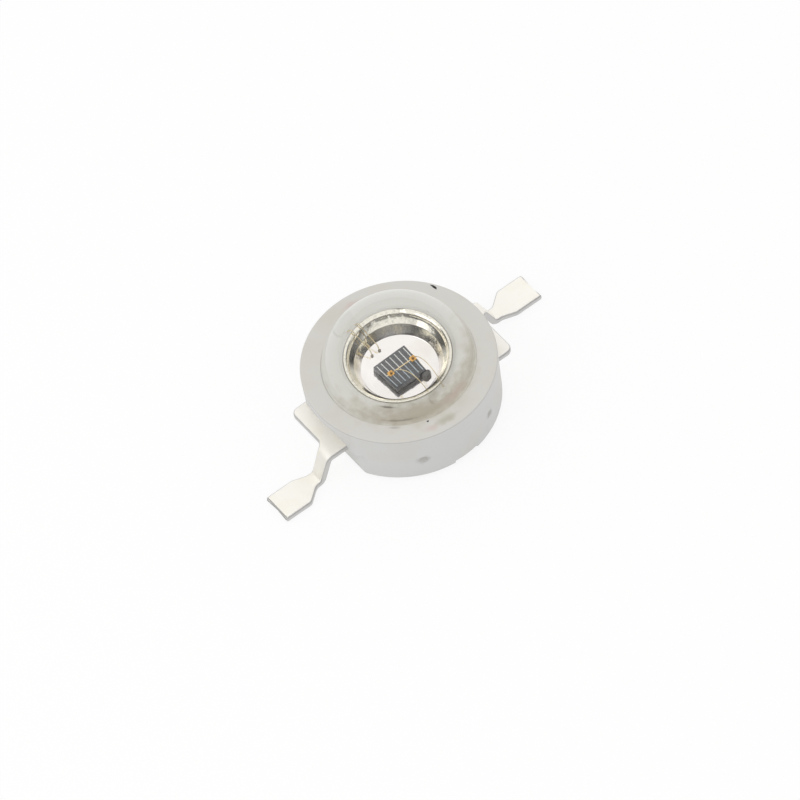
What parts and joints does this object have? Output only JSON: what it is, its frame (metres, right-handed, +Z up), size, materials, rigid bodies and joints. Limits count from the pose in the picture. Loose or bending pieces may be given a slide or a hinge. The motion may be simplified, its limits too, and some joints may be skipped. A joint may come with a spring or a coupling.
{
  "type": "power led emitter",
  "caption": "Bare power LED emitter: round moulded housing and clear dome lens on a copper heat slug with a reflector cup, with two bent leads for soldering to a board.",
  "frame": {"origin": "middle of the heat slug's underside, on the plane that the two lead pads stand on too", "axes": "+X along the leads towards the anode lead, +Z up out of the dome lens, +Y across the leads"},
  "size_m": [0.0144, 0.008, 0.0054],
  "materials": {
    "housing_plastic": "satin moulded white plastic",
    "silver_plate": "silver-plated copper",
    "lens_clear": "clear moulded plastic",
    "gel_clear": "clear silicone gel",
    "chip": "polished chip",
    "silver_epoxy": "cured silver epoxy",
    "gold": "gold"
  },
  "bodies": {
    "root": {"housing": "housing_plastic", "heat_slug": "silver_plate", "cathode_lead": "silver_plate", "anode_lead": "silver_plate", "lens": "lens_clear", "encapsulant": "gel_clear", "led_chip": "chip", "die_attach": "silver_epoxy", "top_metal": "gold", "bond_wire_1": "gold", "bond_wire_2": "gold", "bond_wire_3": "gold", "bond_wire_4": "gold"}
  },
  "joints": []
}
